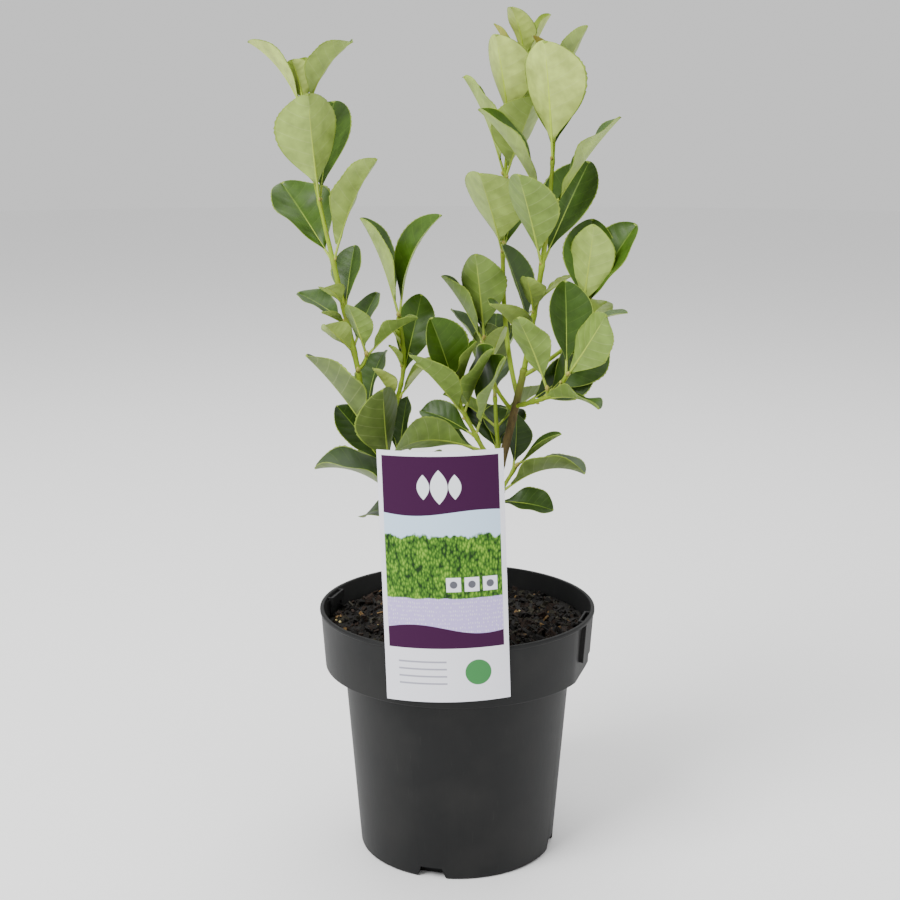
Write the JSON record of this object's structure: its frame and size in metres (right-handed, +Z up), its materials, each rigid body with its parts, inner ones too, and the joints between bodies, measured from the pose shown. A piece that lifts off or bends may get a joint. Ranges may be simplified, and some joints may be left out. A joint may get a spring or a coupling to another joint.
{
  "type": "potted sweet viburnum",
  "caption": "Young evergreen sweet viburnum with paired glossy leaves in a round nursery pot of potting mix, with a plain plant label hooked over the rim.",
  "frame": {"origin": "middle of the pot's flat underside", "axes": "+Z up; -Y towards the front, where the label hangs; +X to the right of a viewer who faces the label"},
  "size_m": [0.2406, 0.1825, 0.5436],
  "materials": {
    "pot_plastic": "moulded, satin",
    "bark_mix": "loose composted bark",
    "label_card": "printed plastic card",
    "bark": "young bark",
    "leaves": "thin leathery leaves"
  },
  "bodies": {
    "root": {"pot": "pot_plastic", "potting_mix": "bark_mix", "label": "label_card", "trunk": "bark", "right_stem": "bark", "left_stem": "bark", "left_low": "leaves", "left_back": "leaves", "left_side": "leaves", "left_leader": "leaves", "centre_shoot": "leaves", "back_shoot": "leaves", "inner_left": "leaves", "right_side_low": "leaves", "low_right": "leaves", "right_side": "leaves", "right_second": "leaves", "right_leader": "leaves"}
  },
  "joints": []
}
